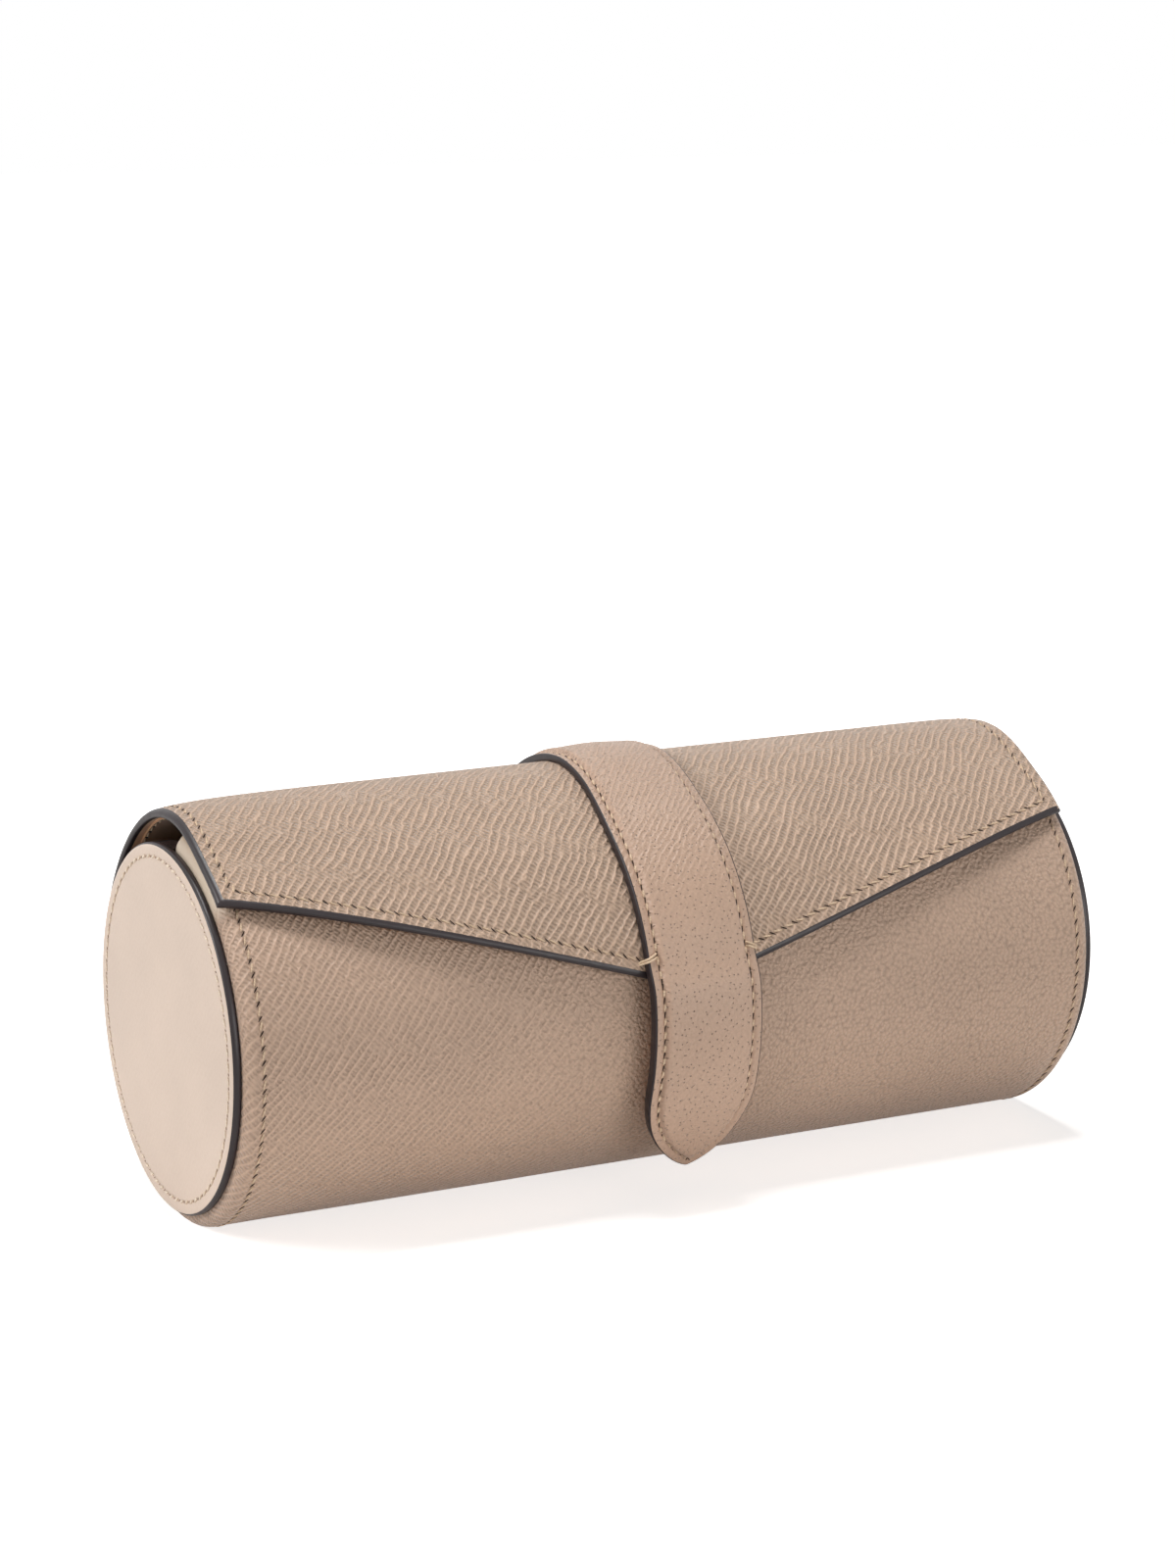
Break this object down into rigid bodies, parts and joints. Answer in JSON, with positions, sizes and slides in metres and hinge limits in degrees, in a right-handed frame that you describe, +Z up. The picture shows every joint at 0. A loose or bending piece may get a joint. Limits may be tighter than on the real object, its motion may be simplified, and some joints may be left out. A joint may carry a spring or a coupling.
{
  "type": "watch roll",
  "caption": "Round leather watch roll with stitched end discs, a V-edged flap hinged at the back, a padded strap with a pointed tip and removable watch pillows in padded bays.",
  "frame": {"origin": "centre of the flat that the roll rests on, under the roll's axis", "axes": "+X along the roll, -Y to the front where the flap closes, +Z up"},
  "size_m": [0.2092, 0.096, 0.0937],
  "materials": {
    "body_leather": "embossed grain, matt",
    "disc_leather": "smooth, matt",
    "strap_leather": "fine pores, satin",
    "suede": "napped",
    "board": "pressed fibreboard",
    "foam": "open cell",
    "thread": "waxed thread",
    "magnet_steel": "plated"
  },
  "bodies": {
    "case": {"case_board": "board", "body_wrap": "body_leather", "case_lining": "suede", "front_lip": "body_leather", "left_end_board": "board", "right_end_board": "board", "left_end_lining": "suede", "right_end_lining": "suede", "left_end_disc": "disc_leather", "right_end_disc": "disc_leather", "left_divider_board": "board", "right_divider_board": "board", "left_divider_pad": "suede", "right_divider_pad": "suede", "body_magnet": "magnet_steel", "left_body_thread": "thread", "right_body_thread": "thread", "left_disc_thread": "thread", "right_disc_thread": "thread", "strap_tail": "strap_leather", "strap_tail_padding": "foam", "strap_tail_thread": "thread"},
    "flap": {"flap_leather": "body_leather", "flap_reinforcement": "board", "flap_lining": "suede", "flap_thread": "thread", "strap_leather": "strap_leather", "strap_padding": "foam", "strap_backing": "strap_leather", "strap_thread": "thread", "bar_tacks": "thread"},
    "strap_end": {"strap_end_leather": "strap_leather", "strap_end_padding": "foam", "strap_end_core": "board", "strap_end_lining": "strap_leather", "strap_end_magnet": "magnet_steel", "strap_end_thread": "thread"},
    "left_pillow": {"left_pillow_foam": "foam", "left_pillow_cover": "suede", "left_pillow_panels": "suede"},
    "middle_pillow": {"middle_pillow_foam": "foam", "middle_pillow_cover": "suede", "middle_pillow_panels": "suede"},
    "right_pillow": {"right_pillow_foam": "foam", "right_pillow_cover": "suede", "right_pillow_panels": "suede"}
  },
  "joints": [
    {"name": "flap_hinge", "type": "hinge", "parent": "case", "child": "flap", "pos_m": [0, 0.04244, 0.04983], "axis": [-1, 0, 0], "range_deg": [0, 120]},
    {"name": "strap_fold", "type": "hinge", "parent": "flap", "child": "strap_end", "pos_m": [0, -0.04881, 0.05316], "axis": [-1, 0, 0], "range_deg": [0, 70]},
    {"name": "left_pillow_lift", "type": "slide", "parent": "case", "child": "left_pillow", "axis": [0, 0.6293, 0.7771], "range_m": [0, 0.062]},
    {"name": "middle_pillow_lift", "type": "slide", "parent": "case", "child": "middle_pillow", "axis": [0, 0.6293, 0.7771], "range_m": [0, 0.062]},
    {"name": "right_pillow_lift", "type": "slide", "parent": "case", "child": "right_pillow", "axis": [0, 0.6293, 0.7771], "range_m": [0, 0.062]}
  ],
  "couplings": [
    {"joint": "left_pillow_lift", "follows": "flap_hinge", "m_per_rad": 0.0296},
    {"joint": "middle_pillow_lift", "follows": "flap_hinge", "m_per_rad": 0.0296},
    {"joint": "right_pillow_lift", "follows": "flap_hinge", "m_per_rad": 0.0296}
  ]
}
